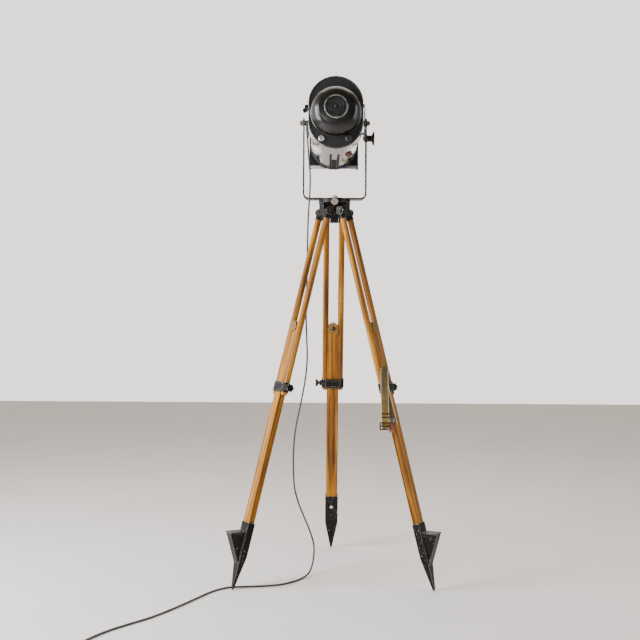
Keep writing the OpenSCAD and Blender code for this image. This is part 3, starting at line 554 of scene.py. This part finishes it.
def leather():
    made, tree, shader, place = start_material("leather", IOR=1.45)
    creases = add(tree, "ShaderNodeTexVoronoi", {
        "Vector": place, "Scale": 700.0,
    }, feature="DISTANCE_TO_EDGE").outputs["Distance"]
    mottle = noise(tree, place, 120, 8)
    connect(
        tree, shader,
        Base_Color=ramp(tree, mottle, [(0.3, (0.13, 0.035, 0.010)), (0.7, (0.34, 0.115, 0.030))]),
        Roughness=ramp(tree, mottle, [(0.3, 0.42), (0.7, 0.62)]),
        Normal=bump(tree, creases, 0.0003, 0.5),
    )
    return made


NODE_MATERIALS = {
    "tripod_head": "head", "yoke": "black", "tilt_plate": "rubbed",
    "tilt_lock_knob": "handle", "left_shutter": "handle", "right_shutter": "handle",
    "centre_bolt": "steel", "cover_screw": "steel", "pivot_bolts": "dull",
    "lamp_adjuster": "knurled", "lamp_house": "barrel", "barrel": "barrel",
    "back_plate": "plate", "rear_dome": "enamel", "dome_cap": "cap", "reflector": "mirror",
    "lampholder": "porcelain", "bulb": "bulb", "lens": "lens", "gate": "matt",
    "lens_carriage": "matt", "front_ring": "matt", "frame_holder": "matt",
    "colour_frame": "frame", "barrel_screws": "brass", "focus_knob": "bakelite",
    "cable_gland": "rubber", "plug": "rubber", "strap_buckle": "dark",
}
LEG_NODE_MATERIALS = {
    "sockets": "iron", "clamp": "iron", "hinge_bolt": "iron", "leg_guide": "guide",
    "shoe": "shoe", "clamp_screw": "handle", "leg_screws": "bolts",
}


def paint_nodes():
    """Gives every CAD node that shows its material."""
    for node, material in NODE_MATERIALS.items():
        dress(NODES[node], MATERIALS[material])
    for leg in LEG_TURNS:
        for node, material in LEG_NODE_MATERIALS.items():
            dress(NODES[f"{leg}_{node}"], MATERIALS[material])
        for node in ("rods", "lower_leg"):
            dress(NODES[f"{leg}_{node}"], MATERIALS["wood", leg])


def dress(piece, material):
    if not piece.data.materials:
        piece.data.materials.append(material)
    for slot in piece.material_slots:
        slot.material = material


# ---------------------------------------------------------------- cord

CORD_D = 0.007
UPPER_ROUTE = [
    (-0.110, -0.039, 1.748), (-0.109, -0.041, 1.722), (-0.104, -0.041, 1.660),
    (-0.099, -0.039, 1.600), (-0.099, -0.038, 1.560),
]
FLOOR_ROUTE = [
    (-0.099, -0.038, 1.5595), (-0.101, -0.036, 1.510), (-0.105, -0.030, 1.450),
    (-0.107, -0.018, 1.400), (-0.108, -0.005, 1.350), (-0.109, 0.005, 1.300),
    (-0.110, 0.009, 1.200), (-0.112, 0.008, 1.100), (-0.112, 0.006, 1.020),
    (-0.109, 0.004, 0.940), (-0.107, 0.004, 0.860), (-0.114, 0.005, 0.780),
    (-0.134, 0.006, 0.670), (-0.152, 0.008, 0.580), (-0.160, 0.010, 0.480),
    (-0.157, 0.014, 0.360), (-0.142, 0.020, 0.290), (-0.117, 0.026, 0.225),
    (-0.090, 0.028, 0.160), (-0.075, 0.024, 0.105), (-0.078, 0.006, 0.050),
    (-0.092, -0.024, 0.014), (-0.118, -0.070, 0.004), (-0.158, -0.126, 0.004),
    (-0.205, -0.164, 0.004), (-0.270, -0.184, 0.004), (-0.340, -0.192, 0.004),
    (-0.400, -0.206, 0.004), (-0.450, -0.256, 0.004), (-0.500, -0.346, 0.004),
    (-0.556, -0.450, 0.004), (-0.618, -0.548, 0.004), (-0.680, -0.620, 0.004),
    (-0.732, -0.684, 0.004), (-0.776, -0.764, 0.004), (-0.798, -0.840, 0.004),
    (-0.802, -0.884, 0.004),
]
COIL_PLACE = Vector((-0.760, -0.900, 0.0001))
COIL_TURNS = [              # radius in cord diameters, height in cord radii
    (6, 1), (5, 1), (5, 3), (5, 5), (6, 5), (6, 3),
]


def coil_route(per_turn=36):
    """Six turns, two wide and three high, each easing into the next over its last quarter."""
    route = []
    steps = per_turn * len(COIL_TURNS) + per_turn // 4
    for step in range(1, steps + 1):
        turn, part = divmod(step / per_turn, 1)
        now = COIL_TURNS[min(int(turn), len(COIL_TURNS) - 1)]
        after = COIL_TURNS[min(int(turn) + 1, len(COIL_TURNS) - 1)]
        t = max(0.0, (part - 0.75) * 4)
        t = t * t * (3 - 2 * t)
        radius = CORD_D * (now[0] + (after[0] - now[0]) * t)
        height = CORD_D / 2 * (now[1] + (after[1] - now[1]) * t)
        angle = math.pi + 2 * math.pi * step / per_turn
        offset = Vector((radius * math.cos(angle), radius * math.sin(angle), height))
        route.append(COIL_PLACE + offset)
    return route


def make_cords():
    upper = smooth_route(UPPER_ROUTE, 6)
    lead = tube("lamp_flex", upper, CORD_D / 2)
    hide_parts("upper_cord")
    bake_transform(lead)

    lower = smooth_route(FLOOR_ROUTE, 4) + coil_route()
    flex = tube("floor_flex", lower, CORD_D / 2)
    plug = make_plug()
    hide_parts("floor_cord", "cord_coil")
    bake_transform(flex)
    return lead, flex


def rounded_block(name, size, place, bevel):
    """A block with rounded edges; size is its full extent."""
    mesh = bmesh.new()
    bmesh.ops.create_cube(mesh, size=1)
    bmesh.ops.scale(mesh, vec=size, verts=mesh.verts)
    bmesh.ops.bevel(
        mesh, geom=mesh.edges[:], offset=bevel, segments=4, affect="EDGES", profile=0.5,
    )
    mesh.transform(place)
    data = bpy.data.meshes.new(name)
    mesh.to_mesh(data)
    mesh.free()
    for polygon in data.polygons:
        polygon.use_smooth = True
    made = bpy.data.objects.new(name, data)
    bpy.context.scene.collection.objects.link(made)
    return made


RELIEF_RIBS = 7
RIB_STEP = 0.004
PIN_PROFILE = [(0.0024, 0), (0.0024, 0.0185), (0.0021, 0.0195), (0.0012, 0.020)]
PLUG_SECTIONS = [  # along the plug, half its width, half its thickness
    (0.0295, 0.008, 0.0075), (0.031, 0.0105, 0.0095), (0.036, 0.0145, 0.0112),
    (0.041, 0.0175, 0.0118), (0.046, 0.0178, 0.0119), (0.050, 0.0168, 0.0112),
    (0.055, 0.0172, 0.0115), (0.061, 0.018, 0.012), (0.0632, 0.0176, 0.0116),
    (0.064, 0.0165, 0.0106),
]


def relief_profile():
    """Ribs that widen towards the plug."""
    ribs = [(0.0044, 0.0)]
    for k in range(RELIEF_RIBS):
        radius, start = 0.0046 + 0.00034 * k, RIB_STEP * k
        ribs += [
            (radius, 0.001 + start), (radius, 0.0032 + start), (radius - 0.001, 0.0038 + start),
        ]
    return ribs + [(0.007, 0.030)]


def squared_ring(middle, half_width, half_thickness, sides=40):
    """A rounded square outline across x."""
    ring = []
    for a in (2 * math.pi * k / sides for k in range(sides)):
        c, s = math.cos(a), math.sin(a)
        out = (abs(c) ** 4 + abs(s) ** 4) ** -0.25
        ring.append(middle + Vector((0, half_width * out * c, half_thickness * out * s)))
    return ring


def make_plug():
    """Two-pin plug beside the coil: ribbed strain relief, waisted body and two pins."""
    low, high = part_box("plug")
    back = Vector((low.x, (low.y + high.y) / 2, (low.z + high.z) / 2))
    along_x = Matrix.Rotation(math.pi / 2, 4, "Y")
    relief = lathe("plug_relief", relief_profile(), Matrix.Translation(back) @ along_x)
    body = loft("plug_body", [
        squared_ring(back + Vector((x, 0, 0)), half_width, half_thickness)
        for x, half_width, half_thickness in PLUG_SECTIONS
    ])
    pins = []
    for name, y in (("plug_pin_left", -0.0095), ("plug_pin_right", 0.0095)):
        place = Matrix.Translation(back + Vector((0.063, y, 0))) @ along_x
        pin = lathe(name, PIN_PROFILE, place, 24)
        dress(pin, MATERIALS["brass"])
        pins.append(pin)
    for piece in (relief, body):
        dress(piece, MATERIALS["rubber"])
    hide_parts("plug")
    for piece in (relief, body, *pins):
        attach(piece, "head")
    return [body, relief, *pins]


# ---------------------------------------------------------------- strap on the right leg

# Lengths of the strap are in millimetres.
WEB_WIDTH = 30
WEB_THICK = 2.4
WEB_LENGTH = 500            # length over which the webbing's tone along the strap is laid out
WARP_PITCH = 1.1
RIB_PITCH = 1.6
HANG = 30                   # degrees that the front run faces away from the leg
FOLD_AT = 645               # distance down the leg of the top of the fold
FOLD_SAG = 11               # how far the webbing's edges dip at the fold
FOLD_REACH = 26
STRAP_STATIONS = [          # across, outward, down the leg, and the webbing's turn in degrees
    (34.5, 12.5, 872, 0), (36.5, 14, 856, 0), (41.5, 16, 818, 0), (46.5, 18, 782, 0),
    (51, 20, 748, 0), (51.2, 23, 712, 0), (51, 27, 682, 0), (50.4, 31, 662, 3),
    (50.8, 35, 650, 12), (53.2, 38, 645.5, 24), (56.2, 37, 651, HANG), (58, 29, 692, HANG),
    (60, 16, 748, HANG), (61.2, 4, 805, HANG), (61.6, -6.5, 851, HANG), (58.4, -11.5, 879, HANG),
]
STRAP_BLOCKS = [            # name, place, size, turn, material, slot
    ("strap_slide_top", (61.6, 0.5, 824), (5.5, 33, 4), HANG, "dark", "dark_buckle"),
    ("strap_slide_bottom", (61.8, -2.5, 837), (5.5, 33, 4), HANG, "dark", "dark_buckle"),
    ("strap_clip_top", (39, 9, 846), (6, 31, 5), 0, "clip", "dull_steel"),
    ("strap_clip_bottom", (38, 7.5, 854), (6, 31, 8), 0, "clip", "dull_steel"),
    ("strap_tab", (37, 3, 878), (5, 22, 42), 0, "leather", None),
]
RIVET_PLACE = (39.6, 1, 868)
RIVET_PROFILE = [(0.006, 0), (0.006, 0.0012), (0.005, 0.0024), (0.0025, 0.003)]


def from_hinge(x, y, s):
    """A place across, outward and down a leg, as a vector in metres in the leg's frame."""
    return Vector((x / 1000, y / 1000, -s / 1000))


def make_strap():
    """Webbing folded over above the clamp, both ends hanging, with its end fittings."""
    route = smooth_route([(x, y, s) for x, y, s, _ in STRAP_STATIONS], 6)
    turns = smooth_route([(turn, 0, 0) for *_, turn in STRAP_STATIONS], 6)
    rings, weave_places = [], []
    travelled = 0.0
    for i, (centre, turn) in enumerate(zip(route, turns)):
        if i:
            travelled += (centre - route[i - 1]).length
        width, thick = strap_axes(route, i, turn.x)
        sag = FOLD_SAG * math.exp(-((centre.z - FOLD_AT) / FOLD_REACH) ** 2)
        ring = []
        for u, v in strap_section():
            weave_places.append((u, travelled))
            drop = Vector((0, 0, sag * (2 * u / WEB_WIDTH) ** 2))
            point = from_hinge(*(centre + width * u + thick * v + drop))
            ring.append(leg_matrix("right") @ point)
        rings.append(ring)
    strap = loft("strap_webbing", rings)
    layer = strap.data.uv_layers.new(name="weave")
    for loop in strap.data.loops:
        layer.data[loop.index].uv = weave_places[loop.vertex_index]
    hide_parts("strap")
    pieces = [(strap, "webbing", "khaki_webbing")]
    for name, centre, size, turn, material, slot in STRAP_BLOCKS:
        size = tuple(v / 1000 for v in size)
        block = rounded_block(name, size, strap_place(centre, turn), 0.0015)
        pieces.append((block, material, slot))
    flat = strap_place(RIVET_PLACE, 0) @ Matrix.Rotation(math.pi / 2, 4, "Y")
    rivet = lathe("strap_rivet", RIVET_PROFILE, flat, 24)
    pieces.append((rivet, "copper", None))
    for piece, material, slot in pieces:
        dress(piece, MATERIALS[material])
        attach(piece, "right_leg")


def strap_axes(route, i, turn):
    """Directions across and through the webbing at one of its stations."""
    ahead = (route[min(i + 1, len(route) - 1)] - route[max(i - 1, 0)]).normalized()
    a = math.radians(turn)
    width = Vector((-math.sin(a), math.cos(a), 0))
    width = (width - ahead * width.dot(ahead)).normalized()
    return width, width.cross(ahead)


def strap_place(centre, turn):
    """Upright place beside the right leg, facing away from it by the turn given."""
    upright = Matrix.Rotation(math.radians(-SPLAY), 4, "X")
    place = Matrix.Translation(from_hinge(*centre))
    return leg_matrix("right") @ place @ upright @ Matrix.Rotation(math.radians(turn), 4, "Z")


def strap_section():
    """Outline of the webbing: flat, with rounded and slightly thicker edges."""
    half, thick = WEB_WIDTH / 2, WEB_THICK / 2
    top = [(-half, 0.0)]
    for u in (k / 12 - 1 for k in range(25)):
        top.append((u * half * 0.985, thick * (0.82 + 0.18 * abs(u) ** 6)))
    top.append((half, 0.0))
    return top + [(u, -v) for u, v in reversed(top[1:-1])]


# ---------------------------------------------------------------- stage

WORLD_STRENGTH = 1.95
LIGHT_AIM = Vector((0, 0, 1.1))
LIGHTS = [                  # name, place, size, power in watts, colour
    ("left_window", (-2.8, -1.3, 1.9), (1.7, 2.4), 230, (0.95, 0.97, 1.0)),
    ("right_window", (2.7, -0.8, 2.0), (1.1, 2.0), 30, (0.90, 0.95, 1.0)),
    ("ceiling", (0.0, 0.8, 4.0), (2.5, 2.5), 55, (1.0, 0.92, 0.80)),
    ("camera_fill", (-1.2, -4.5, 2.2), (1.4, 1.2), 40, (1.0, 0.96, 0.90)),
]


def make_world():
    """A pale wall in front of the lamp, and a darker room behind it."""
    world = bpy.data.worlds.new("studio")
    bpy.context.scene.world = world
    world.use_nodes = True
    tree = world.node_tree
    direction = add(tree, "ShaderNodeTexCoord").outputs["Generated"]
    split = add(tree, "ShaderNodeSeparateXYZ", {0: direction})
    right, forward, up = (
        maths(tree, "ADD", maths(tree, "MULTIPLY", split.outputs[k], 0.5), 0.5) for k in range(3)
    )
    colour = ramp(tree, forward, [(0.2, (0.12, 0.122, 0.128)), (0.75, (1.0, 0.95, 0.92))])
    shade = ramp(tree, right, [(0.69, 1.0), (0.86, 0.22)])
    warm = ramp(tree, up, [(0.7, 1.0), (0.92, (0.5, 0.36, 0.24))])
    colour = blend_colour(tree, 1.0, colour, shade, "MULTIPLY")
    colour = blend_colour(tree, 1.0, colour, warm, "MULTIPLY")
    tree.links.new(colour, tree.nodes["Background"].inputs["Color"])
    tree.nodes["Background"].inputs["Strength"].default_value = WORLD_STRENGTH


def make_stage():
    corners = [(-9, -9, 0), (9, -9, 0), (9, 9, 0), (-9, 9, 0)]
    floor = new_object("floor", corners, [(0, 1, 2, 3)], smooth=False)
    made, tree, shader, place = start_material("pale_floor", Roughness=0.6)
    pale = ramp(tree, noise(tree, place, 3, 4), [(0.3, 0.74), (0.7, 0.77)])
    connect(tree, shader, Base_Color=pale)
    dress(floor, made)
    make_world()
    for name, place, size, power, colour in LIGHTS:
        light = bpy.data.objects.new(name, bpy.data.lights.new(name, "AREA"))
        bpy.context.scene.collection.objects.link(light)
        light.data.shape = "RECTANGLE"
        light.data.size, light.data.size_y = size
        light.data.energy = power
        light.data.color = colour
        light.location = place
        aim = LIGHT_AIM - Vector(place)
        light.rotation_euler = aim.to_track_quat("-Z", "Y").to_euler()


make_camera()
make_materials()
cords = make_cords()
for cord in cords:
    dress(cord, MATERIALS["flex"])
paint_nodes()
make_strap()
make_stage()
